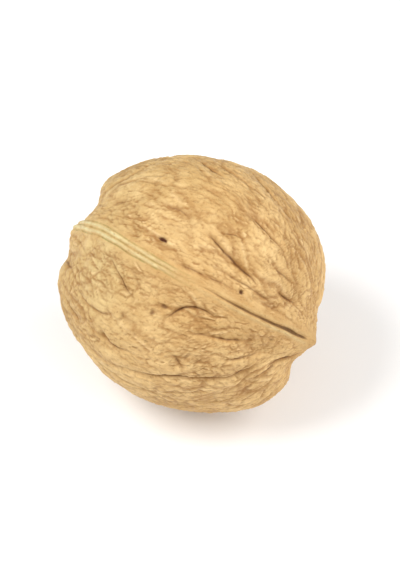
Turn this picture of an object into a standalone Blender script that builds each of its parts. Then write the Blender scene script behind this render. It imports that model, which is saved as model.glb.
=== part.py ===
"""A whole walnut in its shell, lying on one cheek. Metres, +Z up, the tip towards +X.

The shell is one closed solid: a nearly round body with a pointed tip, a raised seam all
round between its two cheeks, furrows beside the seam, and a net of creases grown by a rule.

Places on the shell are given by two angles. The first is counted from the tip, 0 at the tip
and 180 at the stem end. The second is counted round the long axis, 0 on the upper seam,
positive on the far cheek, negative on the near cheek and 180 on the lower seam.
"""

import math
import random

import bmesh
import bpy
import numpy as np
from mathutils import noise

MM = 0.001

# Body
HALF_LENGTH = 19.1 * MM
HALF_WIDTH = 18.8 * MM
HALF_HEIGHT = 18.5 * MM
MEAN_RADIUS = 19.0 * MM
SQUARENESS = 2.1
TIP_TAPER = 0.03
ROLL = math.radians(35)
REST_HEIGHT = 18.3 * MM
REST_PLACE = (90, math.degrees(ROLL) - 180)
CALM_SPREAD = 22

# Pointed tip and stem scar
NUB_HEIGHT = 2.0 * MM
NUB_REACH = 1.9 * MM
NUB_ROUNDING = 0.4 * MM
SCAR_DEPTH = 0.9 * MM
SCAR_REACH = 2.4 * MM
SCAR_RIM_HEIGHT = 0.3 * MM
SCAR_RIM_RADIUS = 4.0 * MM
SCAR_RIM_REACH = 1.2 * MM

# Seam
BAND_HEIGHT = 0.5 * MM
BAND_REACH = 3.2 * MM
CREST_HEIGHT = 0.25 * MM
CREST_REACH = 1.2 * MM
END_BAND_SHARE = 0.3
FURROW_OFFSET = 4.4 * MM
FURROW_REACH = 1.5 * MM
FURROW_SHALLOW = 0.15 * MM
FURROW_DEEP = 0.85 * MM
UPPER_FURROWS = ((22, 16, 0.6), (150, 22, 0.6))
FURROW_END_RISE = 2.2
SEAM_SWAYS = ((120, 24, 0.8 * MM), (42, 16, -0.3 * MM))
SEAM_SWAY_REACH = 5.0 * MM

# Broad swellings and hollows: from the tip, round from the seam, spread in degrees, height
LUMPS = (
    (36, -116, 21, 1.35 * MM),
    (50, 109, 22, 0.6 * MM),
    (20, 112, 9, 0.35 * MM),
    (25, -175, 10, -0.35 * MM),
    (152, 50, 16, 0.7 * MM),
    (145, -52, 14, 0.8 * MM),
    (161, 23, 9, -1.9 * MM),
    (16, -153, 8, -0.8 * MM),
    (28, 137, 14, -0.65 * MM),
    (84, 94, 9, 0.4 * MM),
    (149, 11, 7, -0.9 * MM),
    (153, -6, 7, 0.5 * MM),
    (10, -135, 8, -0.25 * MM),
    (97, -100, 18, -0.4 * MM),
    (118, -79, 14, -0.45 * MM),
    (115, 77, 13, -0.35 * MM),
    (92, 14, 10, -0.35 * MM),
    (36, 62, 9, 0.3 * MM),
    (75, 150, 20, 0.4 * MM),
)
BROAD_NOISE = 0.18 * MM
BROAD_WAVE = 9.0 * MM
FINE_NOISE = 0.13 * MM
FINE_WAVE = 4.2 * MM

# Main creases, each with its depth and its points as angles from the tip and from the seam
MAIN_CREASES = (
    (0.45 * MM, ((83, 4), (73, 5), (61, 6), (50, 8))),
    (0.40 * MM, ((70, 11), (59, 12), (48, 13), (37, 14), (29, 16))),
    (0.32 * MM, ((44, 10), (34, 11), (25, 13))),
    (0.85 * MM, ((78, 24), (69, 22), (59, 20), (50, 19), (44, 17))),
    (0.65 * MM, ((67, 46), (57, 46), (45, 48))),
    (0.35 * MM, ((93, 44), (85, 44), (76, 43))),
    (0.65 * MM, ((36, 24), (28, 29), (21, 36))),
    (0.45 * MM, ((48, 35), (40, 35), (30, 42))),
    (0.45 * MM, ((72, 27), (67, 31), (61, 33))),
    (0.35 * MM, ((101, 26), (93, 27), (85, 25))),
    (0.40 * MM, ((129, 13), (126, 19), (119, 22))),
    (0.75 * MM, ((76, -22), (72, -16), (69, -12), (62, -10), (54, -11))),
    (0.60 * MM, ((65, -24), (54, -23), (44, -22), (36, -20))),
    (0.80 * MM, ((92, -56), (78, -54), (64, -51), (45, -52), (35, -48), (27, -42))),
    (0.55 * MM, ((36, -64), (25, -60), (17, -56))),
    (0.65 * MM, ((128, -69), (118, -62), (104, -65), (90, -66), (76, -68), (58, -72))),
    (0.75 * MM, ((25, -54), (17, -58), (11, -68), (6, -88))),
    (0.50 * MM, ((112, -8), (105, -12), (99, -16), (92, -19))),
    (0.35 * MM, ((100, -7), (94, -11), (90, -15))),
    (0.50 * MM, ((125, -31), (117, -34), (108, -33), (99, -31))),
    (0.40 * MM, ((135, -46), (126, -47), (117, -48))),
    (0.50 * MM, ((104, -40), (98, -46), (88, -44))),
    (0.45 * MM, ((69, -37), (66, -41), (63, -45))),
    (0.35 * MM, ((60, -34), (64, -41))),
    (0.45 * MM, ((50, -35), (41, -36), (33, -34), (28, -32))),
)

# Creases grown by the rule
GROWN_SEED = 52
GROWN_TRIES = 900
GROWN_SPACING = 3.5 * MM
GROWN_CLEARANCE = 2.2 * MM
GROWN_SLANT = 0.35
GROWN_FEWEST = 4
GROWN_STEP = 1.1 * MM
GROWN_STEPS = 11
GROWN_SWAY = 0.26
GROWN_DEPTHS = (0.30 * MM, 0.7 * MM)
SEAM_CLEARANCE = 5.0 * MM
END_CLEARANCE = 4.0 * MM
SAMPLES_PER_SPAN = 8
CREASE_END = 0.04

# Net of wrinkles: its cells, their stretch along the nut, its lines' wander, width and depth
NET_SEED = 23
WRINKLE_CELLS = 200
WRINKLE_STRETCH = 1.8
WRINKLE_WANDER = 1.5 * MM
WRINKLE_WAVE = 4.5 * MM
WRINKLE_HALF_WIDTH = 0.70 * MM
WRINKLE_DEPTH = 0.28 * MM
NET_NARROWING = 0.55
NET_ROUND_LOSS = 0.55
WRINKLE_CALM_START = 2.0 * MM
WRINKLE_CALM_RISE = 2.0 * MM

# Section of a crease, and how strongly the mesh's points are drawn towards its middle
CREASE_HALF_WIDTH = 0.80 * MM
DRAW_SHARE = 0.7
DRAW_REACH = 0.9 * MM

GRID = 30
SHELL_COLOUR = (0.62, 0.40, 0.19, 1.0)
SHELL_ROUGHNESS = 0.6


def bump(distance, reach):
    """A smooth hill of height 1 at distance 0."""
    return np.exp(-np.square(distance / reach))


def smooth_step(value):
    """0 below 0, 1 above 1 and a smooth rise between."""
    value = np.clip(value, 0, 1)
    return value * value * (3 - 2 * value)


def direction(from_tip, round_seam):
    """The unit direction of a place given by its two angles in degrees."""
    tip_angle, turn = math.radians(from_tip), math.radians(round_seam)
    across = math.sin(tip_angle)
    return np.array([math.cos(tip_angle), across * math.sin(turn), across * math.cos(turn)])


def noise_at(points, wave, offset):
    """Smooth noise of the given wavelength, between about -1 and 1, at each point."""
    places = (points / wave + offset).tolist()
    return np.array([noise.noise(place) for place in places])


def curve_through(knots, samples):
    """Unit directions on a smooth curve through the knots, with so many samples for each span."""
    knots = np.vstack([2 * knots[0] - knots[1], knots, 2 * knots[-1] - knots[-2]])
    line = []
    for a, b, c, d in zip(knots, knots[1:], knots[2:], knots[3:]):
        for t in np.linspace(0, 1, samples, endpoint=False):
            line.append(
                b + 0.5 * t * (c - a)
                + t * t * (a - 2.5 * b + 2 * c - 0.5 * d)
                + t * t * t * (1.5 * (b - c) + 0.5 * (d - a))
            )
    line.append(knots[-2])
    line = np.array(line)
    return line / np.linalg.norm(line, axis=1, keepdims=True)


def smooth_line(points):
    """Unit directions close together on a smooth curve through the given places."""
    return curve_through(np.array([direction(*point) for point in points]), SAMPLES_PER_SPAN)


def grown_line(start, heading, rng):
    """Unit directions of a crease that wanders from start, mostly towards the tip or away."""
    place, turn, line = start, heading, [start]
    for _ in range(GROWN_STEPS):
        towards_tip = np.array([1.0, 0.0, 0.0]) - place[0] * place
        towards_tip /= np.linalg.norm(towards_tip)
        sideways = np.cross(place, towards_tip)
        step = math.cos(turn) * towards_tip + math.sin(turn) * sideways
        place = place + step * (GROWN_STEP / MEAN_RADIUS)
        place = place / np.linalg.norm(place)
        off_axis = math.hypot(place[1], place[2]) * MEAN_RADIUS
        if abs(place[1]) * MEAN_RADIUS < SEAM_CLEARANCE or off_axis < END_CLEARANCE:
            break
        line.append(place)
        turn += rng.gauss(0, GROWN_SWAY)
    return np.array(line)


def creases():
    """Every crease as (unit directions along it, depth): the main ones, then the grown ones."""
    found = [(smooth_line(points), depth) for depth, points in MAIN_CREASES]
    rng = random.Random(GROWN_SEED)
    for _ in range(GROWN_TRIES):
        start = np.array([rng.gauss(0, 1) for _ in range(3)])
        start /= np.linalg.norm(start)
        heading = rng.choice((0, math.pi)) + rng.gauss(0, GROWN_SLANT)
        line = grown_line(start, heading, rng)
        depth = rng.uniform(*GROWN_DEPTHS)
        taken = np.vstack([other for other, _ in found])
        nearest = np.linalg.norm(line[:, None] - taken[None], axis=2).min(axis=1) * MEAN_RADIUS
        free = nearest > GROWN_CLEARANCE
        count = len(line) if free.all() else int(np.argmin(free))
        if nearest[0] > GROWN_SPACING and count > GROWN_FEWEST:
            found.append((line[:count], depth))
    return found


def nearest_on(line, directions, reach):
    """Which directions lie within reach of a line, each one's nearest point on it, and its gap."""
    middle = line.mean(axis=0)
    whole_reach = np.linalg.norm(line - middle, axis=1).max() + reach / MEAN_RADIUS
    near = np.flatnonzero(np.linalg.norm(directions - middle, axis=1) < whole_reach)
    gaps = np.linalg.norm(directions[near, None] - line[None], axis=2)
    return near, gaps.argmin(axis=1), gaps.min(axis=1) * MEAN_RADIUS


def faded_ends(place, line):
    """How strong a crease is at a place on its line: full in the middle and nothing at the ends."""
    along = place / (len(line) - 1)
    return np.sqrt(np.sin(math.pi * (CREASE_END + (1 - 2 * CREASE_END) * along)))


def drawn_to_creases(directions, lines):
    """The directions, with each that lies beside a crease moved closer to the nearest one, so that
    the creases come out crisp."""
    pull = np.zeros(len(directions))
    target = directions.copy()
    for line, _ in lines:
        near, place, gap = nearest_on(line, directions, 3 * DRAW_REACH)
        share = DRAW_SHARE * bump(gap, DRAW_REACH) * faded_ends(place, line)
        nearer = share > pull[near]
        pull[near[nearer]] = share[nearer]
        target[near[nearer]] = line[place[nearer]]
    drawn = directions + pull[:, None] * (target - directions)
    return drawn / np.linalg.norm(drawn, axis=1, keepdims=True)


def crease_depth(directions, lines):
    """How deep the creases cut at each direction."""
    cut = np.zeros(len(directions))
    for line, depth in lines:
        near, place, gap = nearest_on(line, directions, 3 * CREASE_HALF_WIDTH)
        deep = depth * faded_ends(place, line) * bump(gap, CREASE_HALF_WIDTH)
        cut[near] = np.maximum(cut[near], deep)
    return cut


def grain_places(directions, stretch):
    """Places in a space where the shell's wrinkles have no grain: shortened along the nut."""
    from_tip = np.arccos(np.clip(directions[:, 0], -1, 1))
    off_axis = np.maximum(np.hypot(directions[:, 1], directions[:, 2]), 1e-6)
    widened = off_axis ** (NET_NARROWING - 1)
    return MEAN_RADIUS * np.column_stack(
        [from_tip / stretch, directions[:, 1] * widened, directions[:, 2] * widened]
    )


def wrinkle_depth(directions, points):
    """How deep the net of wrinkles cuts, away from the seam. Those along the nut are strongest."""
    rng = random.Random(NET_SEED)
    seeds = np.array([[rng.gauss(0, 1) for _ in range(3)] for _ in range(WRINKLE_CELLS)])
    seeds = grain_places(seeds / np.linalg.norm(seeds, axis=1, keepdims=True), WRINKLE_STRETCH)
    places = grain_places(directions, WRINKLE_STRETCH)
    for axis in range(3):
        places[:, axis] += WRINKLE_WANDER * noise_at(points, WRINKLE_WAVE, 31.7 + 9.1 * axis)
    gaps = np.linalg.norm(places[:, None] - seeds[None], axis=2)
    first, second = np.argsort(gaps, axis=1)[:, :2].T
    rows = np.arange(len(places))
    across = seeds[second] - seeds[first]
    span = np.linalg.norm(across, axis=1)
    gap = (gaps[rows, second] ** 2 - gaps[rows, first] ** 2) / (2 * span)
    strength = 1 - NET_ROUND_LOSS * np.square(across[:, 0] / span)
    off_seam = smooth_step((np.abs(points[:, 1]) - WRINKLE_CALM_START) / WRINKLE_CALM_RISE)
    return WRINKLE_DEPTH * off_seam * strength * bump(gap, WRINKLE_HALF_WIDTH)


def body_points(directions):
    """The smooth body under the relief: a squared ball, a little narrower at the tip."""
    halves = np.array([HALF_LENGTH, HALF_WIDTH, HALF_HEIGHT])
    powers = np.abs(directions / halves) ** SQUARENESS
    points = directions * (powers.sum(axis=1) ** (-1 / SQUARENESS))[:, None]
    points[:, 1:] *= (1 - TIP_TAPER * directions[:, :1])
    return points


def seam_relief(side, from_tip, upper):
    """The raised band and crest of the seam, and the furrows beside it."""
    ends = sum(share * bump(from_tip - place, spread) for place, spread, share in UPPER_FURROWS)
    depth = FURROW_SHALLOW + (FURROW_DEEP - FURROW_SHALLOW) * np.where(upper, ends, 1)
    depth *= np.clip(np.sin(np.radians(from_tip)) * FURROW_END_RISE, 0, 1)
    furrows = depth * bump(np.abs(side) - FURROW_OFFSET, FURROW_REACH)
    band = BAND_HEIGHT * bump(side, BAND_REACH) + CREST_HEIGHT * bump(side, CREST_REACH)
    return band * (END_BAND_SHARE + (1 - END_BAND_SHARE) * np.sin(np.radians(from_tip)) ** 2) - furrows


def end_relief(directions, points):
    """The pointed tip, and the round scar where the stem was."""
    off_axis = np.hypot(points[:, 1], points[:, 2])
    nub = NUB_HEIGHT * np.exp(-np.hypot(off_axis, NUB_ROUNDING) / NUB_REACH)
    rim = SCAR_RIM_HEIGHT * bump(off_axis - SCAR_RIM_RADIUS, SCAR_RIM_REACH)
    scar = rim - SCAR_DEPTH * bump(off_axis, SCAR_REACH)
    return np.where(directions[:, 0] > 0, nub, scar)


def lump_relief(directions, points):
    """The broad swellings and hollows, and the soft unevenness between the creases."""
    relief = BROAD_NOISE * noise_at(points, BROAD_WAVE, 11.3)
    relief += FINE_NOISE * noise_at(points, FINE_WAVE, 5.7)
    for from_tip, round_seam, spread, height in LUMPS:
        cosine = np.clip(directions @ direction(from_tip, round_seam), -1, 1)
        relief += height * bump(np.degrees(np.arccos(cosine)), spread)
    return relief


def liveliness(directions):
    """How strong the relief is: none at the resting place, so that the flat spot there is round."""
    cosine = np.clip(directions @ direction(*REST_PLACE), -1, 1)
    return 1 - bump(np.degrees(np.arccos(cosine)), CALM_SPREAD)


def seam_sway(from_tip):
    """How far the upper seam wanders off its plane, towards the far cheek."""
    return sum(sway * bump(from_tip - place, spread) for place, spread, sway in SEAM_SWAYS)


def shell_points(directions):
    """Every direction's point on the finished surface, before the nut is rolled over."""
    lines = [(curve_through(line, SAMPLES_PER_SPAN), depth) for line, depth in creases()]
    directions = drawn_to_creases(directions, lines)
    points = body_points(directions)
    from_tip = np.degrees(np.arccos(np.clip(directions[:, 0], -1, 1)))
    upper = directions[:, 2] > 0
    relief = seam_relief(points[:, 1], from_tip, upper)
    relief += end_relief(directions, points) + lump_relief(directions, points)
    relief -= crease_depth(directions, lines) + wrinkle_depth(directions, points)
    sway = np.where(upper, seam_sway(from_tip), 0) * bump(points[:, 1], SEAM_SWAY_REACH)
    points += directions * (relief * liveliness(directions))[:, None]
    points[:, 1] += sway
    return points


def laid_down(points):
    """The points rolled over on one cheek, and cut off flat where they rest on the ground."""
    sine, cosine = math.sin(ROLL), math.cos(ROLL)
    across, up = points[:, 1].copy(), points[:, 2].copy()
    points[:, 1] = across * cosine - up * sine
    points[:, 2] = np.maximum(across * sine + up * cosine + REST_HEIGHT, 0)
    return points


def ball_mesh(grid):
    """A ball of radius 1 in a bmesh, made from a cube whose faces are cut into grid by grid squares."""
    mesh = bmesh.new()
    bmesh.ops.create_cube(mesh, size=2)
    bmesh.ops.subdivide_edges(mesh, edges=mesh.edges[:], cuts=grid - 1, use_grid_fill=True)
    for vertex in mesh.verts:
        vertex.co = [math.tan(math.pi / 4 * value) for value in vertex.co]
        vertex.co.normalize()
    return mesh


def shell_material():
    material = bpy.data.materials.new("shell")
    material.use_nodes = True
    shader = material.node_tree.nodes["Principled BSDF"]
    shader.inputs["Base Color"].default_value = SHELL_COLOUR
    shader.inputs["Roughness"].default_value = SHELL_ROUGHNESS
    return material


def make_shell():
    """The whole nut as one object."""
    mesh = ball_mesh(GRID)
    directions = np.array([vertex.co for vertex in mesh.verts])
    for vertex, place in zip(mesh.verts, laid_down(shell_points(directions))):
        vertex.co = place
    bmesh.ops.triangulate(mesh, faces=mesh.faces[:], quad_method="SHORT_EDGE")
    data = bpy.data.meshes.new("shell")
    mesh.to_mesh(data)
    mesh.free()
    data.shade_smooth()
    data.materials.append(shell_material())
    shell = bpy.data.objects.new("shell", data)
    bpy.context.scene.collection.objects.link(shell)
    return shell


def main():
    for thing in list(bpy.data.objects):
        bpy.data.objects.remove(thing)
    make_shell()


main()
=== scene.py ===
"""A whole walnut in its shell, lying on one cheek on a pale floor.

The fine shell stands for the frame's plain one. It has the same body, seam, tip and creases,
and adds finer nets of wrinkles, the seam's double lip and crack, the pits and the colours.

Places on the shell are given by two angles. The first is counted from the tip, 0 at the tip
and 180 at the stem end. The second is counted round the long axis, 0 on the upper seam,
positive on the far cheek, negative on the near cheek and 180 on the lower seam.
"""

import math
import random

import bmesh
import bpy
import numpy as np
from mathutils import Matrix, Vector, kdtree, noise


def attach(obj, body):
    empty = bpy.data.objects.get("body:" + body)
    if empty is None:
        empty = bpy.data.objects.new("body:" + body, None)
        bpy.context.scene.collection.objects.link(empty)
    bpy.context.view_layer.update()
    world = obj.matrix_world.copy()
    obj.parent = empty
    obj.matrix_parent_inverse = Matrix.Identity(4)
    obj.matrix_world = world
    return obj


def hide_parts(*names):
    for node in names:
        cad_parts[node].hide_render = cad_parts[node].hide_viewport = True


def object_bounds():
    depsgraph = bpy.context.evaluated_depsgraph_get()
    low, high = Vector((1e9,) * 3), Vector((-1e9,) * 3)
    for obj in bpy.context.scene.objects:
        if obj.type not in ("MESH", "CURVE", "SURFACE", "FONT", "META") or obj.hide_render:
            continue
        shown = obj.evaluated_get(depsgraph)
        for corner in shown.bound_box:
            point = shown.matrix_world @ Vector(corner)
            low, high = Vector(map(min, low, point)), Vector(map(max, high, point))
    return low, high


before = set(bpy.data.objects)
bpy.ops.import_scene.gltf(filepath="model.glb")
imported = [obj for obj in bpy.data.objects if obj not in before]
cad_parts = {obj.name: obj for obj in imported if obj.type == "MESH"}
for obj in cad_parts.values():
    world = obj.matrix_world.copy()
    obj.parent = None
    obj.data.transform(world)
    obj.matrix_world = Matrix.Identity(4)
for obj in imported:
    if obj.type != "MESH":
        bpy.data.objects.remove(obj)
cad_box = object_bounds()

MM = 0.001

# Body
HALF_LENGTH = 19.1 * MM
HALF_WIDTH = 18.8 * MM
HALF_HEIGHT = 18.5 * MM
MEAN_RADIUS = 19.0 * MM
SQUARENESS = 2.1
TIP_TAPER = 0.03
ROLL = math.radians(35)
REST_HEIGHT = 18.3 * MM
REST_PLACE = (90, math.degrees(ROLL) - 180)
CALM_SPREAD = 22

# Pointed tip and stem scar
NUB_HEIGHT = 2.0 * MM
NUB_REACH = 1.9 * MM
NUB_ROUNDING = 0.4 * MM
SCAR_DEPTH = 0.9 * MM
SCAR_REACH = 2.4 * MM
SCAR_RIM_HEIGHT = 0.3 * MM
SCAR_RIM_RADIUS = 4.0 * MM
SCAR_RIM_REACH = 1.2 * MM

# Seam. Its upper furrows and its sways: from the tip, spread in degrees, share or distance
BAND_HEIGHT = 0.5 * MM
BAND_REACH = 3.2 * MM
CREST_HEIGHT = 0.25 * MM
CREST_REACH = 1.2 * MM
END_BAND_SHARE = 0.3
FURROW_OFFSET = 4.4 * MM
FURROW_REACH = 1.5 * MM
FURROW_SHALLOW = 0.15 * MM
FURROW_DEEP = 0.85 * MM
UPPER_FURROWS = ((22, 16, 0.6), (150, 22, 0.6))
FURROW_END_RISE = 2.2
SEAM_SWAYS = ((120, 24, 0.8 * MM), (42, 16, -0.3 * MM))
SEAM_SWAY_REACH = 5.0 * MM

# Broad swellings and hollows: from the tip, round from the seam, spread in degrees, height
LUMPS = (
    (36, -116, 21, 1.35 * MM),
    (50, 109, 22, 0.6 * MM),
    (20, 112, 9, 0.35 * MM),
    (25, -175, 10, -0.35 * MM),
    (152, 50, 16, 0.7 * MM),
    (145, -52, 14, 0.8 * MM),
    (161, 23, 9, -1.9 * MM),
    (16, -153, 8, -0.8 * MM),
    (28, 137, 14, -0.65 * MM),
    (84, 94, 9, 0.4 * MM),
    (149, 11, 7, -0.9 * MM),
    (153, -6, 7, 0.5 * MM),
    (10, -135, 8, -0.25 * MM),
    (97, -100, 18, -0.4 * MM),
    (118, -79, 14, -0.45 * MM),
    (115, 77, 13, -0.35 * MM),
    (92, 14, 10, -0.35 * MM),
    (36, 62, 9, 0.3 * MM),
    (75, 150, 20, 0.4 * MM),
)
BROAD_NOISE = 0.18 * MM
BROAD_WAVE = 9.0 * MM
FINE_NOISE = 0.13 * MM
FINE_WAVE = 4.2 * MM

# Main creases, each with its depth and its points as angles from the tip and from the seam
MAIN_CREASES = (
    (0.45 * MM, ((83, 4), (73, 5), (61, 6), (50, 8))),
    (0.40 * MM, ((70, 11), (59, 12), (48, 13), (37, 14), (29, 16))),
    (0.32 * MM, ((44, 10), (34, 11), (25, 13))),
    (0.85 * MM, ((78, 24), (69, 22), (59, 20), (50, 19), (44, 17))),
    (0.65 * MM, ((67, 46), (57, 46), (45, 48))),
    (0.35 * MM, ((93, 44), (85, 44), (76, 43))),
    (0.65 * MM, ((36, 24), (28, 29), (21, 36))),
    (0.45 * MM, ((48, 35), (40, 35), (30, 42))),
    (0.45 * MM, ((72, 27), (67, 31), (61, 33))),
    (0.35 * MM, ((101, 26), (93, 27), (85, 25))),
    (0.40 * MM, ((129, 13), (126, 19), (119, 22))),
    (0.75 * MM, ((76, -22), (72, -16), (69, -12), (62, -10), (54, -11))),
    (0.60 * MM, ((65, -24), (54, -23), (44, -22), (36, -20))),
    (0.80 * MM, ((92, -56), (78, -54), (64, -51), (45, -52), (35, -48), (27, -42))),
    (0.55 * MM, ((36, -64), (25, -60), (17, -56))),
    (0.65 * MM, ((128, -69), (118, -62), (104, -65), (90, -66), (76, -68), (58, -72))),
    (0.75 * MM, ((25, -54), (17, -58), (11, -68), (6, -88))),
    (0.50 * MM, ((112, -8), (105, -12), (99, -16), (92, -19))),
    (0.35 * MM, ((100, -7), (94, -11), (90, -15))),
    (0.50 * MM, ((125, -31), (117, -34), (108, -33), (99, -31))),
    (0.40 * MM, ((135, -46), (126, -47), (117, -48))),
    (0.50 * MM, ((104, -40), (98, -46), (88, -44))),
    (0.45 * MM, ((69, -37), (66, -41), (63, -45))),
    (0.35 * MM, ((60, -34), (64, -41))),
    (0.45 * MM, ((50, -35), (41, -36), (33, -34), (28, -32))),
)

# Creases grown by the rule
GROWN_SEED = 52
GROWN_TRIES = 900
GROWN_SPACING = 3.5 * MM
GROWN_CLEARANCE = 2.2 * MM
GROWN_SLANT = 0.35
GROWN_FEWEST = 4
GROWN_STEP = 1.1 * MM
GROWN_STEPS = 11
GROWN_SWAY = 0.26
GROWN_DEPTHS = (0.30 * MM, 0.7 * MM)
SEAM_CLEARANCE = 5.0 * MM
END_CLEARANCE = 4.0 * MM
SAMPLES_PER_SPAN = 8
CREASE_SAMPLES = 6
CREASE_END = 0.04

# Section of a crease: a broad soft valley, a narrow groove in it, and one side a little higher
VALLEY_HALF_WIDTH = 1.1 * MM
VALLEY_SHARE = 0.30
GROOVE_HALF_WIDTH = 0.28 * MM
GROOVE_SHARE = 0.65
FOLD_HEIGHT = 0.09 * MM
FOLD_REACH = 1.2 * MM
CREASE_REACH = 2.5 * FOLD_REACH
CREASE_WANDER = 0.17 * MM
CREASE_WAVE = 1.9 * MM

# Nets of wrinkles: cells, stretch along the nut, groove half width, depth, wander, its wave
NETS = (
    (200, 1.8, 0.34 * MM, 0.20 * MM, 1.5 * MM, 4.5 * MM),
    (2200, 1.5, 0.19 * MM, 0.22 * MM, 0.7 * MM, 2.0 * MM),
    (6400, 1.3, 0.16 * MM, 0.14 * MM, 0.30 * MM, 1.0 * MM),
)
# How dark each net's grooves are painted: painted shade, partly the shell's darker brown in its
# grooves
NET_PAINTED_SHADE = (0.7, 0.85, 0.85)
NET_SEED = 23
NET_NARROWING = 0.55
LEAST_OFF_AXIS = 1e-6
NET_WEAKEST = 0.3
CHANCE_MIXER = 31
CHANCE_STEPS = 101
NET_VALLEY_SHARE = 0.25
NET_VALLEY_WIDENING = 2.4
NET_RIM_SHARE = 0.45
NET_RIM_OFFSET = 2.0
NET_ROUND_LOSS = 0.55

# How strong nets, lines and ripples are from patch to patch: middle, swing, least and most
PATCH_WAVE = 6.0 * MM
NET_PATCHES = (0.85, 0.45, 0.35, 1.15)
LINES_PATCHES = (0.5, 1.2, 0, 1.4)
RIPPLE_PATCHES = (0.3, 1.5, 0, 1)

# Long thin lines that wander along the nut, and ripples round its swellings
LINES_STRETCH = 4.5
LINES_WAVE = 3.4 * MM
LINES_WIDTH = 0.09
LINES_DEPTH = 0.14 * MM
# How dark the long lines are painted: painted shade in their grooves
LINES_PAINTED_SHADE = 0.35
LINES_TIP_PLACE = 32
LINES_TIP_SPREAD = 24
LINES_TIP_SHARE = 0.6
RIPPLE_WAVE = 8.0 * MM
RIPPLE_TURNS = 15
RIPPLE_HEIGHT = 0.06 * MM

# Seam's fine lines: a double lip towards the stem end, a crack towards the tip
SEAM_WOBBLE = 0.15 * MM
SEAM_WOBBLE_WAVE = 3.5 * MM
SEAM_UNEVENNESS = 0.55
LIP_OFFSET = 0.46 * MM
LIP_NARROWEST = 0.65
LIP_REACH = 0.26 * MM
LIP_HEIGHT = 0.13 * MM
LIP_LINE_REACH = 0.16 * MM
LIP_LINE_DEPTH = 0.12 * MM
MIDDLE_LINE_SHARE = 0.8
SEAM_CALM_START = 0.6 * MM
SEAM_CALM_RISE = 1.5 * MM
SEAM_CALM_LEAST = 0.35
LIP_END = 66
LIP_FADE = 36
LIP_SWELL = 0.22
LIP_SWELL_WAVE = 4.5 * MM
CRACK_START = 86
CRACK_RISE = 60
CRACK_END = 3
CRACK_FALL = 5
CRACK_REACH = 0.24 * MM
CRACK_DEPTH = 0.45 * MM
LOWER_CRACK_SHARE = 0.5
CRACK_LIP_OFFSET = 0.50 * MM
CRACK_LIP_HEIGHT = 0.14 * MM
FAR_CRACK_LIP_SHARE = 0.4
WARM_REACH = 2.8 * MM
WARM_END = 84
WARM_FADE = 30

# Pits: from the tip, round from the seam, half length along the nut, half width, depth
DEEPEST_PIT = 0.60 * MM
PITS = (
    (92, 11, 0.75 * MM, 0.36 * MM, DEEPEST_PIT),
    (50, 8, 0.40 * MM, 0.33 * MM, 0.45 * MM),
    (82, -21, 0.50 * MM, 0.48 * MM, 0.34 * MM),
    (78, -16, 0.65 * MM, 0.36 * MM, 0.36 * MM),
    (102, -43, 0.55 * MM, 0.32 * MM, 0.34 * MM),
    (118, -39, 0.35 * MM, 0.30 * MM, 0.22 * MM),
    (95, -30, 0.45 * MM, 0.26 * MM, 0.22 * MM),
    (81, -35, 0.45 * MM, 0.28 * MM, 0.32 * MM),
)
SMALL_PITS = 34
SMALL_PIT_SEED = 5
SMALL_PIT_WIDTHS = (0.18 * MM, 0.36 * MM)
SMALL_PIT_LENGTHS = (1, 2.5)
SMALL_PIT_DEPTH = 0.30 * MM
SMALL_PIT_SHALLOWEST = 0.5
SMALL_PIT_END = 0.95
PIT_UNEVENNESS = 0.35
PIT_UNEVENNESS_WAVE = 0.5 * MM

# Where the shell turns paler and greener: towards the stem end, and in one patch beside the seam
STEM_TINT_START = 60
STEM_TINT_RISE = 90
PALE_PLACE = (112, -16)
PALE_SPREAD = 0.30

# Squares along each side of the mesh's cube, and how far they crowd towards the seam
GRID = 128
SEAM_CROWDING = 0.4

# Shell colours, linear
TAN = (0.595, 0.374, 0.145, 1.0)
# Pale end of the random mottling, also painted light on the swellings' tops
PALE_AND_TOP_LIT_TAN = (0.735, 0.497, 0.218, 1.0)
WARM_TAN = (0.46, 0.245, 0.072, 1.0)
STEM_TAN = (0.60, 0.455, 0.200, 1.0)
# Painted highlight on the wrinkles' raised rims, partly the shell's paler ridges
RIM_PALE_AND_HIGHLIGHT = (0.82, 0.580, 0.290, 1.0)
# Painted shade in the creases and the wrinkles' grooves, partly the shell's darker brown there;
# also the speckles' own brown
CREASE_SHADE_AND_SPECKLE_BROWN = (0.27, 0.108, 0.018, 1.0)
# The seam lip's own pale colour, also laid on the crack's lips, where it is partly a painted
# highlight
LIP_PALE_AND_CRACK_HIGHLIGHT = (0.69, 0.610, 0.320, 1.0)
LIP_OLIVE = (0.33, 0.270, 0.085, 1.0)
# Painted shade in the crack and in the creases' middle lines
CRACK_SHADE_BROWN = (0.13, 0.052, 0.014, 1.0)
# Painted shade in the pits
PIT_SHADE_BROWN = (0.090, 0.022, 0.005, 1.0)

# How strongly each colour is laid over those under it
STEM_SHARE = 0.45
WARM_SHARE = 0.50
LIP_SHARE = 0.78
LIP_LINE_SHARE = 0.85
# How pale the crack's lips are painted, partly a painted highlight on their raised edge
CRACK_LIP_HIGHLIGHT_SHARE = 0.4
PATCH_SHARE = 0.33
FIBRE_SHARE = 0.30
SPECKLE_SHARE = 0.42
RIM_HIGHLIGHT_SHARE = 0.76
# Painted shade in the wrinkles' grooves
NET_SHADE_SHARE = 0.78
CREASE_SHADE_SHARE = 0.62
CREASE_LINE_SHADE_SHARE = 0.75
CRACK_SHADE_SHARE = 0.78

# Painted lines, among them the painted shade along the creases and their middle lines: the distance
# from their middle, in millimetres, where they start to fade and end
LIP_PAINT = (0.04, 0.38)
LIP_LINE_PAINT = (0.02, 0.20)
CREASE_SHADE_PAINT = (0.10, 0.50)
CREASE_LINE_SHADE_PAINT = (0.05, 0.20)

# Painted shade in the crack: its least half width and what is added where it is widest, in
# millimetres, and the shares of that width where it starts to fade and ends
CRACK_PAINT_WIDTH = 0.10
CRACK_PAINT_WIDENING = 0.20
CRACK_PAINT_EDGE = (0.3, 1.0)

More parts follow.
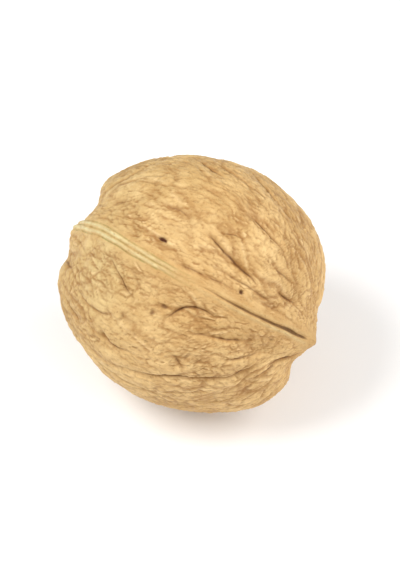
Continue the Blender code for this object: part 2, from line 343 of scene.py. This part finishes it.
# Where each mark or noise starts to show as a colour, and where it shows in full
# The broad mottling, with painted light on swellings and painted shade in hollows
BROAD_RANGE = (0.10, 0.85)
PATCH_RANGE = (0.42, 0.68)
FIBRE_RANGE = (0.40, 0.66)
SPECKLE_RANGE = (0.58, 0.74)
RIM_HIGHLIGHT_RANGE = (0.2, 0.9)
NET_SHADE_RANGE = (0.10, 0.95)
CREASE_LINE_SHADE_RANGE = (0.05, 0.9)
CRACK_SHADE_RANGE = (0.05, 0.9)
PIT_SHADE_RANGE = (0.15, 0.9)

# Where lines are weaker: the noise's range, and the least that is left of them
CREASE_LINE_BREAKS = (0.36, 0.56, 0.5)
LIP_LINE_BREAKS = (0.38, 0.62, 0.3)

# Noises in the material: waves to the metre, detail, roughness and distortion
BROAD_MOTTLING = (260, 3.0, 0.55, 0.0)
PATCH_MOTTLING = (420, 4.0, 0.6, 0.6)
CREASE_LINE_MOTTLING = (480, 3.0, 0.6, 0.0)
LIP_LINE_MOTTLING = (600, 3.0, 0.6, 0.0)
GLOSS_MOTTLING = (900, 3.0, 0.5, 0.0)
FIBRE_MOTTLING = (1300, 3.0, 0.6, 0.3)
GRAIN_MOTTLING = (1500, 5.0, 0.62, 0.4)
SPECKLE_MOTTLING = (2600, 2.0, 0.6, 0.0)

# Gloss, and the fine grain with the fibres in it
FIBRE_STRETCH = 4.0
FIBRE_GRAIN_SHARE = 0.25
GRAIN_HEIGHT = 0.28 * MM
GLOSS_RANGE = (0.3, 0.7)
SHELL_ROUGHNESS = (0.52, 0.68)
SHELL_SPECULAR = 0.35

# Floor
FLOOR_SPREAD = 60
FLOOR_COLOUR = (0.93, 0.93, 0.93, 1.0)
FLOOR_ROUGHNESS = 0.7
FLOOR_SPECULAR = 0.2

# Camera
VIEW_AZIMUTH = 33
VIEW_ELEVATION = 50
CAMERA_DISTANCE = 0.5
FRAME_SHARE = 0.68
SENSOR_WIDTH = 24

# Lights: name, azimuth, elevation, distance, width, power in watts
LIGHTS = (
    ("key_light", -46, 52, 0.45, 0.30, 1.90),
    ("fill_light", 80, 30, 0.50, 0.40, 1.15),
    ("back_light", 132, 40, 0.50, 0.40, 1.32),
)
WORLD_COLOUR = (1, 1, 1, 1)
WORLD_STRENGTH = 0.385


def bump(distance, reach):
    """A smooth hill of height 1 at distance 0."""
    return np.exp(-np.square(distance / reach))


def smooth_step(value):
    """0 below 0, 1 above 1 and a smooth rise between."""
    value = np.clip(value, 0, 1)
    return value * value * (3 - 2 * value)


def direction(from_tip, round_seam):
    """The unit direction of a place given by its two angles in degrees."""
    tip_angle, turn = math.radians(from_tip), math.radians(round_seam)
    across = math.sin(tip_angle)
    return np.array([math.cos(tip_angle), across * math.sin(turn), across * math.cos(turn)])


def noise_at(points, wave, offset):
    """Smooth noise of the given wavelength, between about -1 and 1, at each point. Another
    offset gives another pattern."""
    places = (points / wave + offset).tolist()
    return np.array([noise.noise(place) for place in places])


def curve_through(knots, samples):
    """Unit directions on a smooth curve through the knots, with so many samples for each span."""
    knots = np.vstack([2 * knots[0] - knots[1], knots, 2 * knots[-1] - knots[-2]])
    line = []
    for a, b, c, d in zip(knots, knots[1:], knots[2:], knots[3:]):
        for t in np.linspace(0, 1, samples, endpoint=False):
            line.append(
                b + 0.5 * t * (c - a)
                + t * t * (a - 2.5 * b + 2 * c - 0.5 * d)
                + t * t * t * (1.5 * (b - c) + 0.5 * (d - a))
            )
    line.append(knots[-2])
    line = np.array(line)
    return line / np.linalg.norm(line, axis=1, keepdims=True)


def smooth_line(points):
    """Unit directions close together on a smooth curve through the given places."""
    return curve_through(np.array([direction(*point) for point in points]), SAMPLES_PER_SPAN)


def grown_line(start, heading, rng):
    """Unit directions of a crease that wanders from start, mostly towards the tip or away."""
    place, turn, line = start, heading, [start]
    for _ in range(GROWN_STEPS):
        towards_tip = np.array([1.0, 0.0, 0.0]) - place[0] * place
        towards_tip /= np.linalg.norm(towards_tip)
        sideways = np.cross(place, towards_tip)
        step = math.cos(turn) * towards_tip + math.sin(turn) * sideways
        place = place + step * (GROWN_STEP / MEAN_RADIUS)
        place = place / np.linalg.norm(place)
        off_axis = math.hypot(place[1], place[2]) * MEAN_RADIUS
        if abs(place[1]) * MEAN_RADIUS < SEAM_CLEARANCE or off_axis < END_CLEARANCE:
            break
        line.append(place)
        turn += rng.gauss(0, GROWN_SWAY)
    return np.array(line)


def creases():
    """Every crease as (unit directions along it, depth): the main ones, then the grown ones."""
    found = [(smooth_line(points), depth) for depth, points in MAIN_CREASES]
    rng = random.Random(GROWN_SEED)
    for _ in range(GROWN_TRIES):
        start = np.array([rng.gauss(0, 1) for _ in range(3)])
        start /= np.linalg.norm(start)
        heading = rng.choice((0, math.pi)) + rng.gauss(0, GROWN_SLANT)
        line = grown_line(start, heading, rng)
        depth = rng.uniform(*GROWN_DEPTHS)
        taken = np.vstack([other for other, _ in found])
        nearest = np.linalg.norm(line[:, None] - taken[None], axis=2).min(axis=1) * MEAN_RADIUS
        free = nearest > GROWN_CLEARANCE
        count = len(line) if free.all() else int(np.argmin(free))
        if nearest[0] > GROWN_SPACING and count > GROWN_FEWEST:
            found.append((line[:count], depth))
    return found


def crease_relief(directions, lines):
    """The creases' relief, with one side of each a little higher, and each place's signed
    distance from the nearest crease with how strong that crease is there."""
    places = directions * MEAN_RADIUS
    wander = [noise_at(places, CREASE_WAVE, 15.1 + 7.7 * axis) for axis in range(3)]
    directions = directions + CREASE_WANDER / MEAN_RADIUS * np.column_stack(wander)
    valley, groove, fold, beside, share = (np.zeros(len(directions)) for _ in range(5))
    for number, (line, depth) in enumerate(lines):
        line = curve_through(line, CREASE_SAMPLES)
        middle = line.mean(axis=0)
        reach = np.linalg.norm(line - middle, axis=1).max() + CREASE_REACH / MEAN_RADIUS
        near = np.flatnonzero(np.linalg.norm(directions - middle, axis=1) < reach)
        gaps = np.linalg.norm(directions[near, None] - line[None], axis=2)
        nearest = gaps.argmin(axis=1)
        gap = gaps.min(axis=1) * MEAN_RADIUS
        along = nearest / (len(line) - 1)
        faded = np.sqrt(np.sin(math.pi * (CREASE_END + (1 - 2 * CREASE_END) * along)))
        left = np.cross(line, np.gradient(line, axis=0))
        left /= np.linalg.norm(left, axis=1, keepdims=True)
        side = np.einsum("ij,ij->i", directions[near] - line[nearest], left[nearest]) * MEAN_RADIUS
        valley[near] = np.maximum(valley[near], depth * faded * bump(gap, VALLEY_HALF_WIDTH))
        groove[near] = np.maximum(groove[near], depth * faded * bump(gap, GROOVE_HALF_WIDTH))
        raised = np.tanh(side / GROOVE_HALF_WIDTH) * bump(gap, FOLD_REACH) * faded
        fold[near] += raised * (1 if number % 2 else -1) * FOLD_HEIGHT
        here = depth / GROWN_DEPTHS[1] * faded ** 2 * bump(gap, 2 * GROOVE_HALF_WIDTH)
        stronger = here > share[near]
        beside[near[stronger]] = side[stronger]
        share[near] = np.maximum(share[near], here)
    return fold - VALLEY_SHARE * valley - GROOVE_SHARE * groove, beside, share


def grain_places(directions, stretch):
    """Places in a space where the shell's wrinkles have no grain: shortened along the nut."""
    from_tip = np.arccos(np.clip(directions[:, 0], -1, 1))
    off_axis = np.maximum(np.hypot(directions[:, 1], directions[:, 2]), LEAST_OFF_AXIS)
    widened = off_axis ** (NET_NARROWING - 1)
    return MEAN_RADIUS * np.column_stack(
        [from_tip / stretch, directions[:, 1] * widened, directions[:, 2] * widened]
    )


def net_marks(directions, points, net, rng):
    """How deep each place lies in the grooves of one net of wrinkles, from 0 to 1, in the valleys
    round them, and how high on the rims beside them. Those along the nut are the strongest."""
    count, stretch, half_width, _, wander, wave = net
    seeds = np.array([[rng.gauss(0, 1) for _ in range(3)] for _ in range(count)])
    seeds = grain_places(seeds / np.linalg.norm(seeds, axis=1, keepdims=True), stretch)
    tree = kdtree.KDTree(count)
    for index, seed in enumerate(seeds):
        tree.insert(seed, index)
    tree.balance()
    places = grain_places(directions, stretch)
    for axis in range(3):
        places[:, axis] += wander * noise_at(points, wave, 31.7 + 9.1 * axis)
    nearest = [tree.find_n(place, 2) for place in places]
    first = np.array([pair[0][1] for pair in nearest])
    second = np.array([pair[1][1] for pair in nearest])
    near = np.array([pair[0][2] for pair in nearest])
    far = np.array([pair[1][2] for pair in nearest])
    across = seeds[second] - seeds[first]
    span = np.linalg.norm(across, axis=1)
    gap = (far * far - near * near) / (2 * span)
    chance = (first * second * CHANCE_MIXER + first + second) % CHANCE_STEPS / (CHANCE_STEPS - 1)
    strength = NET_WEAKEST + (1 - NET_WEAKEST) * chance
    strength = strength * (1 - NET_ROUND_LOSS * np.square(across[:, 0] / span))
    groove = strength * bump(gap, half_width)
    valley = strength * bump(gap, NET_VALLEY_WIDENING * half_width)
    one_side = np.where(first < second, chance, 1 - chance)
    rim = strength * one_side * bump(gap - NET_RIM_OFFSET * half_width, half_width)
    return groove, valley, rim


def patches(points, strengths, offset, added=0):
    """How strong a kind of wrinkle is from patch to patch, with what is added to it in places."""
    middle, swing, least, most = strengths
    return np.clip(middle + swing * noise_at(points, PATCH_WAVE, offset) + added, least, most)


def wrinkle_relief(directions, points, from_tip):
    """All nets of wrinkles, wandering lines and ripples: their relief, the painted shade in a
    groove, partly the shell's darker brown, and how pale on a rim, partly a painted highlight."""
    rng = random.Random(NET_SEED)
    relief, rims, smooth = np.zeros(len(points)), np.zeros(len(points)), np.ones(len(points))
    for number, net in enumerate(NETS):
        depth = net[3]
        patch = patches(points, NET_PATCHES, 71.3 + 13 * number)
        groove, valley, rim = net_marks(directions, points, net, rng)
        wrinkle = (1 - NET_VALLEY_SHARE) * groove + NET_VALLEY_SHARE * valley - NET_RIM_SHARE * rim
        relief -= depth * wrinkle * patch
        # Painted shade in this net's grooves
        smooth *= 1 - np.clip(NET_PAINTED_SHADE[number] * groove * patch, 0, 1)
        rims = np.maximum(rims, rim * patch)
    near_tip = LINES_TIP_SHARE * bump(from_tip - LINES_TIP_PLACE, LINES_TIP_SPREAD)
    lines = noise_at(grain_places(directions, LINES_STRETCH), LINES_WAVE, 47.1)
    lines = patches(points, LINES_PATCHES, 3.3, near_tip) * bump(lines, LINES_WIDTH)
    ripples = np.sin(RIPPLE_TURNS * noise_at(points, RIPPLE_WAVE, 63.2))
    ripples *= patches(points, RIPPLE_PATCHES, 17.9)
    relief += RIPPLE_HEIGHT * ripples - LINES_DEPTH * lines
    return relief, 1 - smooth * (1 - LINES_PAINTED_SHADE * lines), rims


def seam_relief(side, from_tip, upper):
    """The raised band and crest of the seam, and the furrows beside it."""
    ends = sum(share * bump(from_tip - place, spread) for place, spread, share in UPPER_FURROWS)
    depth = FURROW_SHALLOW + (FURROW_DEEP - FURROW_SHALLOW) * np.where(upper, ends, 1)
    depth *= np.clip(np.sin(np.radians(from_tip)) * FURROW_END_RISE, 0, 1)
    furrows = depth * bump(np.abs(side) - FURROW_OFFSET, FURROW_REACH)
    band = BAND_HEIGHT * bump(side, BAND_REACH) + CREST_HEIGHT * bump(side, CREST_REACH)
    band *= END_BAND_SHARE + (1 - END_BAND_SHARE) * np.sin(np.radians(from_tip)) ** 2
    return band - furrows


def seam_lines(points, from_tip, upper):
    """The seam's fine relief, and the marks that its colours are worked out from."""
    side = points[:, 1] + SEAM_WOBBLE * noise_at(points, SEAM_WOBBLE_WAVE, 81.9)
    uneven = 1 + SEAM_UNEVENNESS * noise_at(points, SEAM_WOBBLE_WAVE, 22.4)
    crack_share = smooth_step((CRACK_START - from_tip) / CRACK_RISE) * uneven
    crack_share = np.maximum(crack_share, np.where(upper, 0, LOWER_CRACK_SHARE * uneven))
    crack_share *= smooth_step((from_tip - CRACK_END) / CRACK_FALL)
    lip_share = smooth_step((from_tip - LIP_END) / LIP_FADE) * upper * uneven
    widened = smooth_step((from_tip - LIP_END) / (2 * LIP_FADE))
    offset = LIP_OFFSET * (LIP_NARROWEST + (1 - LIP_NARROWEST) * widened)
    offset = offset * (1 + LIP_SWELL * noise_at(points, LIP_SWELL_WAVE, 54.6))
    lips = lip_share * bump(np.abs(side) - offset, LIP_REACH)
    edge_lines = bump(np.abs(side) - 2 * offset, LIP_LINE_REACH)
    middle_line = MIDDLE_LINE_SHARE * bump(side, LIP_LINE_REACH)
    lip_lines = lip_share * np.maximum(edge_lines, middle_line)
    crack_lips = crack_share * bump(np.abs(side) - CRACK_LIP_OFFSET, LIP_REACH)
    crack_lips *= np.where(side < 0, 1, FAR_CRACK_LIP_SHARE)
    relief = LIP_HEIGHT * lips - LIP_LINE_DEPTH * lip_lines
    relief += CRACK_LIP_HEIGHT * crack_lips - CRACK_DEPTH * crack_share * bump(side, CRACK_REACH)
    marks = {
        "seam_side": side / MM,
        "lip_offset": offset / MM,
        "lip_share": lip_share,
        "crack_share": crack_share,
        # The crack's lips, stronger on the near side; their paleness is partly a painted highlight
        "crack_lip_pale_and_highlight": crack_lips,
        "warm": bump(side, WARM_REACH) * (1 - smooth_step((from_tip - WARM_END) / WARM_FADE)),
    }
    return relief, marks


def pits():
    """Every pit: the ones with a place of their own, then small ones strewn by chance."""
    rng = random.Random(SMALL_PIT_SEED)
    found = list(PITS)
    for _ in range(SMALL_PITS):
        width = rng.uniform(*SMALL_PIT_WIDTHS)
        from_tip = math.degrees(math.acos(rng.uniform(-SMALL_PIT_END, SMALL_PIT_END)))
        round_seam = rng.uniform(-180, 180)
        length = width * rng.uniform(*SMALL_PIT_LENGTHS)
        depth = SMALL_PIT_DEPTH * rng.uniform(SMALL_PIT_SHALLOWEST, 1)
        found.append((from_tip, round_seam, length, width, depth))
    return found


def pit_relief(directions, points):
    """How deep each place lies in a pit."""
    uneven = 1 + PIT_UNEVENNESS * noise_at(points, PIT_UNEVENNESS_WAVE, 7.7)
    cut = np.zeros(len(directions))
    for from_tip, round_seam, half_length, half_width, depth in pits():
        place = direction(from_tip, round_seam)
        towards_tip = np.array([1.0, 0.0, 0.0]) - place[0] * place
        towards_tip /= np.linalg.norm(towards_tip)
        offsets = (directions - place) * MEAN_RADIUS
        along = offsets @ towards_tip / half_length
        across = offsets @ np.cross(place, towards_tip) / half_width
        gap = np.sqrt(along ** 2 + across ** 2 + (offsets @ place / half_width) ** 2)
        cut = np.maximum(cut, depth * bump(np.square(gap * uneven), 1))
    return cut


def body_points(directions):
    """The smooth body under the relief: a squared ball, a little narrower at the tip."""
    halves = np.array([HALF_LENGTH, HALF_WIDTH, HALF_HEIGHT])
    powers = np.abs(directions / halves) ** SQUARENESS
    points = directions * (powers.sum(axis=1) ** (-1 / SQUARENESS))[:, None]
    points[:, 1:] *= (1 - TIP_TAPER * directions[:, :1])
    return points


def end_relief(directions, points):
    """The pointed tip, and the round scar where the stem was."""
    off_axis = np.hypot(points[:, 1], points[:, 2])
    nub = NUB_HEIGHT * np.exp(-np.hypot(off_axis, NUB_ROUNDING) / NUB_REACH)
    rim = SCAR_RIM_HEIGHT * bump(off_axis - SCAR_RIM_RADIUS, SCAR_RIM_REACH)
    scar = rim - SCAR_DEPTH * bump(off_axis, SCAR_REACH)
    return np.where(directions[:, 0] > 0, nub, scar)


def lump_relief(directions, points):
    """The broad swellings and hollows, and the soft unevenness between the creases."""
    relief = BROAD_NOISE * noise_at(points, BROAD_WAVE, 11.3)
    relief += FINE_NOISE * noise_at(points, FINE_WAVE, 5.7)
    for from_tip, round_seam, spread, height in LUMPS:
        cosine = np.clip(directions @ direction(from_tip, round_seam), -1, 1)
        relief += height * bump(np.degrees(np.arccos(cosine)), spread)
    return relief


def swell_shading(points):
    """Where each place stands on the soft unevenness, from about -1 in a hollow to 1 on a top, used
    only to paint tops paler as painted light and hollows darker as painted shade.
    """
    return 0.5 * (noise_at(points, BROAD_WAVE, 11.3) + noise_at(points, FINE_WAVE, 5.7))


def liveliness(directions):
    """How strong the relief is: none at the resting place, so that the flat spot there is round."""
    cosine = np.clip(directions @ direction(*REST_PLACE), -1, 1)
    return 1 - bump(np.degrees(np.arccos(cosine)), CALM_SPREAD)


def seam_sway(from_tip):
    """How far the upper seam wanders off its plane, towards the far cheek."""
    return sum(sway * bump(from_tip - place, spread) for place, spread, sway in SEAM_SWAYS)


def shell_points(directions):
    """Every direction's point on the finished surface before the nut is rolled, and its marks."""
    points = body_points(directions)
    from_tip = np.degrees(np.arccos(np.clip(directions[:, 0], -1, 1)))
    upper = directions[:, 2] > 0
    relief = seam_relief(points[:, 1], from_tip, upper)
    relief += end_relief(directions, points) + lump_relief(directions, points)
    cut, crease_side, crease_share = crease_relief(directions, creases())
    relief = (relief + cut) * liveliness(directions)
    wrinkles, net, rims = wrinkle_relief(directions, points, from_tip)
    # Used only for colour: painted light on swellings and painted shade in hollows
    swell_shade = swell_shading(points)
    off_seam = smooth_step((np.abs(points[:, 1]) - SEAM_CALM_START) / SEAM_CALM_RISE)
    off_seam = SEAM_CALM_LEAST + (1 - SEAM_CALM_LEAST) * off_seam
    lines, marks = seam_lines(points, from_tip, upper)
    pit = pit_relief(directions, points)
    relief += wrinkles * off_seam + lines - pit
    sway = np.where(upper, seam_sway(from_tip), 0) * bump(points[:, 1], SEAM_SWAY_REACH)
    points += directions * relief[:, None]
    points[:, 1] += sway
    marks["swell_shade"] = swell_shade
    marks["crease_side"] = crease_side / MM
    marks["crease_share"] = crease_share
    # Painted shade in the wrinkles' grooves and long lines, weaker by the seam
    marks["net"] = net * off_seam
    # Painted highlight on the wrinkles' rims, partly the shell's paler ridges, weaker by the seam
    marks["rim"] = rims * off_seam
    pale_patch = bump(np.linalg.norm(directions - direction(*PALE_PLACE), axis=1), PALE_SPREAD)
    marks["stemward"] = smooth_step((from_tip - STEM_TINT_START) / STEM_TINT_RISE) + pale_patch
    # Painted shade in the pits, by their depth
    marks["pit"] = pit / DEEPEST_PIT
    return points, marks


def laid_down(points):
    """The points rolled over on one cheek, and cut off flat where they rest on the ground."""
    sine, cosine = math.sin(ROLL), math.cos(ROLL)
    across, up = points[:, 1].copy(), points[:, 2].copy()
    points[:, 1] = across * cosine - up * sine
    points[:, 2] = np.maximum(across * sine + up * cosine + REST_HEIGHT, 0)
    return points


def ball_mesh(grid):
    """A ball of radius 1 in a bmesh, made from a cube whose faces are cut into grid by grid
    squares, which are narrower near the seam."""
    mesh = bmesh.new()
    bmesh.ops.create_cube(mesh, size=2)
    bmesh.ops.subdivide_edges(mesh, edges=mesh.edges[:], cuts=grid - 1, use_grid_fill=True)
    for vertex in mesh.verts:
        vertex.co.y *= 1 - SEAM_CROWDING * (1 - vertex.co.y ** 2) ** 2
        vertex.co = [math.tan(math.pi / 4 * value) for value in vertex.co]
        vertex.co.normalize()
    return mesh


class Nodes:
    """A short way to build a material's nodes."""

    def __init__(self, name):
        self.material = bpy.data.materials.new(name)
        self.material.use_nodes = True
        self.tree = self.material.node_tree
        self.shader = self.tree.nodes["Principled BSDF"]

    def link(self, source, socket):
        """Links the socket to another socket, or sets it to a value."""
        if isinstance(source, bpy.types.NodeSocket):
            self.tree.links.new(source, socket)
        else:
            socket.default_value = source

    def add(self, kind, settings=(), **inputs):
        """A node with its settings and its inputs, named by their labels with _ for spaces."""
        node = self.tree.nodes.new(kind)
        for key, value in dict(settings).items():
            setattr(node, key, value)
        for key, value in inputs.items():
            self.link(value, node.inputs[key.replace("_", " ")])
        return node

    def attribute(self, name, output="Fac"):
        return self.add("ShaderNodeAttribute", {"attribute_name": name}).outputs[output]

    def math(self, operation, *values):
        node = self.add("ShaderNodeMath", {"operation": operation})
        for value, socket in zip(values, node.inputs):
            self.link(value, socket)
        return node.outputs[0]

    def noise(self, vector, mottling):
        scale, detail, roughness, distortion = mottling
        node = self.add(
            "ShaderNodeTexNoise", Vector=vector, Scale=scale, Detail=detail,
            Roughness=roughness, Distortion=distortion,
        )
        return node.outputs["Fac"]

    def spread(self, value, low, high, new_low=0.0, new_high=1.0):
        """value from low to high, spread smoothly between the two new ends."""
        node = self.add(
            "ShaderNodeMapRange", {"interpolation_type": "SMOOTHSTEP"}, Value=value,
            From_Min=low, From_Max=high, To_Min=new_low, To_Max=new_high,
        )
        return node.outputs["Result"]

    def mix(self, share, first, second):
        node = self.add("ShaderNodeMix", {"data_type": "RGBA"})
        self.link(share, node.inputs["Factor"])
        self.link(first, node.inputs[6])
        self.link(second, node.inputs[7])
        return node.outputs[2]

    def lay(self, over, mask, share, colour):
        """The colour with another laid over it, as strongly as mask times share."""
        return self.mix(self.math("MULTIPLY", mask, share), colour, over)


def lip_colours(nodes, place, gap, colour):
    """The seam's pale double lip with its olive lines, and the crack's pale lips, whose paleness is
    partly a painted highlight, laid over the colour.
    """
    offset, share = nodes.attribute("lip_offset"), nodes.attribute("lip_share")
    lip_gap = nodes.math("ABSOLUTE", nodes.math("SUBTRACT", gap, offset))
    edge = nodes.math("MULTIPLY", offset, 2.0)
    edge_gap = nodes.math("ABSOLUTE", nodes.math("SUBTRACT", gap, edge))
    lip = nodes.math("MULTIPLY", nodes.spread(lip_gap, *LIP_PAINT, LIP_SHARE, 0.0), share)
    # The crack's lips, pale partly as a painted highlight
    crack_lip_pale_and_highlight = nodes.math("MULTIPLY", nodes.attribute("crack_lip_pale_and_highlight"), CRACK_LIP_HIGHLIGHT_SHARE)
    line_gap = nodes.math("MINIMUM", edge_gap, gap)
    line = nodes.spread(line_gap, *LIP_LINE_PAINT, LIP_LINE_SHARE, 0.0)
    line = nodes.math("MULTIPLY", line, nodes.math("POWER", share, 0.5))
    broken = nodes.spread(nodes.noise(place, LIP_LINE_MOTTLING), *LIP_LINE_BREAKS)
    colour = nodes.mix(nodes.math("MAXIMUM", lip, crack_lip_pale_and_highlight), colour, LIP_PALE_AND_CRACK_HIGHLIGHT)
    return nodes.mix(nodes.math("MULTIPLY", line, broken), colour, LIP_OLIVE)


def mottled_colours(nodes, place, fibres, seam_gap):
    """Tan mottled at random, paler on swellings as painted light and darker in hollows as painted
    shade, paler at the stem end and warmer along the crack, with the lip, and with brown patches,
    fibres and speckles over it all."""
    # Random mottling plus painted light on swellings and painted shade in hollows
    broad = nodes.math("ADD", nodes.attribute("swell_shade"), nodes.noise(place, BROAD_MOTTLING))
    patchy = nodes.spread(nodes.noise(place, PATCH_MOTTLING), *PATCH_RANGE)
    speckle = nodes.spread(nodes.noise(place, SPECKLE_MOTTLING), *SPECKLE_RANGE)
    colour = nodes.mix(nodes.spread(broad, *BROAD_RANGE), TAN, PALE_AND_TOP_LIT_TAN)
    colour = nodes.lay(STEM_TAN, nodes.attribute("stemward"), STEM_SHARE, colour)
    colour = nodes.lay(WARM_TAN, nodes.attribute("warm"), WARM_SHARE, colour)
    colour = lip_colours(nodes, place, seam_gap, colour)
    colour = nodes.lay(WARM_TAN, patchy, PATCH_SHARE, colour)
    colour = nodes.lay(WARM_TAN, fibres, FIBRE_SHARE, colour)
    return nodes.lay(CREASE_SHADE_AND_SPECKLE_BROWN, speckle, SPECKLE_SHARE, colour)


def groove_shade_and_highlight(nodes, place, colour):
    """Painted highlight on the wrinkles' rims and painted shade in their grooves and in the
    creases, partly the shell's own paler ridges and darker brown creases, laid over the colour.
    """
    share = nodes.attribute("crease_share")
    gap = nodes.math("ABSOLUTE", nodes.attribute("crease_side"))
    broken = nodes.spread(nodes.noise(place, CREASE_LINE_MOTTLING), *CREASE_LINE_BREAKS)
    # Painted highlight on the wrinkles' rims, partly the shell's paler ridges
    rim = nodes.spread(nodes.attribute("rim"), *RIM_HIGHLIGHT_RANGE, 0.0, RIM_HIGHLIGHT_SHARE)
    # Painted shade in the wrinkles' grooves, partly the shell's darker brown there
    net = nodes.spread(nodes.attribute("net"), *NET_SHADE_RANGE, 0.0, NET_SHADE_SHARE)
    # Painted shade in the creases, partly the shell's darker brown there
    crease = nodes.math("MULTIPLY", nodes.spread(gap, *CREASE_SHADE_PAINT, 1.0, 0.0), share)
    # Painted shade: a thin dark line along the middle of each crease
    line = nodes.math("MULTIPLY", nodes.spread(gap, *CREASE_LINE_SHADE_PAINT, 1.0, 0.0), share)
    line = nodes.math("MULTIPLY", line, broken)
    line = nodes.spread(line, *CREASE_LINE_SHADE_RANGE, 0.0, CREASE_LINE_SHADE_SHARE)
    colour = nodes.mix(net, nodes.mix(rim, colour, RIM_PALE_AND_HIGHLIGHT), CREASE_SHADE_AND_SPECKLE_BROWN)
    colour = nodes.lay(CREASE_SHADE_AND_SPECKLE_BROWN, crease, CREASE_SHADE_SHARE, colour)
    return nodes.mix(line, colour, CRACK_SHADE_BROWN)


def crack_shade_colours(nodes, gap, colour):
    """Painted shade in the crack along the seam towards the tip, laid over the colour."""
    share = nodes.attribute("crack_share")
    width = nodes.math("MULTIPLY_ADD", share, CRACK_PAINT_WIDENING, CRACK_PAINT_WIDTH)
    crack = nodes.spread(nodes.math("DIVIDE", gap, width), *CRACK_PAINT_EDGE, 1.0, 0.0)
    crack = nodes.math("MULTIPLY", crack, share)
    return nodes.mix(nodes.spread(crack, *CRACK_SHADE_RANGE, 0.0, CRACK_SHADE_SHARE), colour, CRACK_SHADE_BROWN)


def shell_material():
    """Dry tan shell: mottled, with painted shade in its creases, crack and pits and painted
    highlights on its rims and swellings, with a pale lip along the seam.
    """
    nodes = Nodes("walnut_shell")
    place = nodes.add("ShaderNodeTexCoord").outputs["Object"]
    seam_gap = nodes.math("ABSOLUTE", nodes.attribute("seam_side"))
    fibres = nodes.noise(nodes.attribute("fibre", "Vector"), FIBRE_MOTTLING)
    fibres = nodes.spread(fibres, *FIBRE_RANGE)
    colour = mottled_colours(nodes, place, fibres, seam_gap)
    colour = groove_shade_and_highlight(nodes, place, colour)
    colour = crack_shade_colours(nodes, seam_gap, colour)
    # Painted shade in the pits
    pit = nodes.spread(nodes.attribute("pit"), *PIT_SHADE_RANGE)
    colour = nodes.mix(pit, colour, PIT_SHADE_BROWN)
    nodes.link(colour, nodes.shader.inputs["Base Color"])

    rough = nodes.spread(nodes.noise(place, GLOSS_MOTTLING), *GLOSS_RANGE, *SHELL_ROUGHNESS)
    nodes.link(rough, nodes.shader.inputs["Roughness"])
    nodes.shader.inputs["Specular IOR Level"].default_value = SHELL_SPECULAR

    grain = nodes.noise(place, GRAIN_MOTTLING)
    grain = nodes.math("ADD", grain, nodes.math("MULTIPLY", fibres, FIBRE_GRAIN_SHARE))
    grain = nodes.add("ShaderNodeBump", Strength=1.0, Distance=GRAIN_HEIGHT, Height=grain)
    nodes.link(grain.outputs["Normal"], nodes.shader.inputs["Normal"])
    return nodes.material


def make_shell():
    """The whole nut as one fine piece, which stands for the frame's shell."""
    mesh = ball_mesh(GRID)
    directions = np.array([vertex.co for vertex in mesh.verts])
    points, marks = shell_points(directions)
    for vertex, place in zip(mesh.verts, laid_down(points)):
        vertex.co = place
    data = bpy.data.meshes.new("walnut_shell")
    mesh.to_mesh(data)
    mesh.free()
    for name, values in marks.items():
        layer = data.attributes.new(name, "FLOAT", "POINT")
        layer.data.foreach_set("value", values.astype(np.float32))
    fibre_places = grain_places(directions, FIBRE_STRETCH).astype(np.float32)
    fibre = data.attributes.new("fibre", "FLOAT_VECTOR", "POINT")
    fibre.data.foreach_set("vector", fibre_places.ravel())
    data.shade_smooth()
    data.materials.append(shell_material())
    shell = bpy.data.objects.new("walnut_shell", data)
    bpy.context.scene.collection.objects.link(shell)
    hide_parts("shell")
    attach(shell, "root")
    return shell


def floor_material():
    """Plain matt near-white."""
    nodes = Nodes("pale_floor")
    nodes.shader.inputs["Base Color"].default_value = FLOOR_COLOUR
    nodes.shader.inputs["Roughness"].default_value = FLOOR_ROUGHNESS
    nodes.shader.inputs["Specular IOR Level"].default_value = FLOOR_SPECULAR
    return nodes.material


def make_floor(low, high):
    """A wide plain floor at the nut's lowest point."""
    size = FLOOR_SPREAD * max(high - low)
    bpy.ops.mesh.primitive_plane_add(size=size, location=(0, 0, low[2]))
    floor = bpy.context.active_object
    floor.name = "floor"
    floor.data.materials.append(floor_material())


def aimed(thing, place, target):
    """Puts thing at place, looking at target."""
    thing.location = place
    thing.rotation_euler = (Vector(target) - Vector(place)).to_track_quat("-Z", "Y").to_euler()


def turned(azimuth, elevation, distance):
    """A place seen from the object at that azimuth, 0 towards -Y, and elevation, in degrees."""
    turn, rise = math.radians(azimuth), math.radians(elevation)
    level = distance * math.cos(rise)
    return Vector((level * math.sin(turn), -level * math.cos(turn), distance * math.sin(rise)))


def make_camera(low, high):
    """A long lens at the photograph's viewing angle, with the nut over two thirds of the width."""
    middle = (low + high) / 2
    data = bpy.data.cameras.new("camera")
    data.sensor_fit = "HORIZONTAL"
    data.sensor_width = SENSOR_WIDTH
    data.lens = SENSOR_WIDTH * CAMERA_DISTANCE * FRAME_SHARE / max(high - low)
    camera = bpy.data.objects.new("camera", data)
    bpy.context.scene.collection.objects.link(camera)
    aimed(camera, middle + turned(VIEW_AZIMUTH, VIEW_ELEVATION, CAMERA_DISTANCE), middle)
    bpy.context.scene.camera = camera


def make_lights(target):
    """Soft round lights aimed at the target, and an even white surround."""
    for name, azimuth, elevation, distance, width, power in LIGHTS:
        data = bpy.data.lights.new(name, "AREA")
        data.shape = "DISK"
        data.size = width
        data.energy = power
        light = bpy.data.objects.new(name, data)
        bpy.context.scene.collection.objects.link(light)
        aimed(light, target + turned(azimuth, elevation, distance), target)
    world = bpy.data.worlds.new("studio")
    world.use_nodes = True
    world.node_tree.nodes["Background"].inputs["Color"].default_value = WORLD_COLOUR
    world.node_tree.nodes["Background"].inputs["Strength"].default_value = WORLD_STRENGTH
    bpy.context.scene.world = world
    bpy.context.scene.view_settings.view_transform = "Standard"


def main():
    """Builds the scene."""
    low, high = cad_box
    make_camera(low, high)
    make_shell()
    make_floor(low, high)
    make_lights((low + high) / 2)


main()
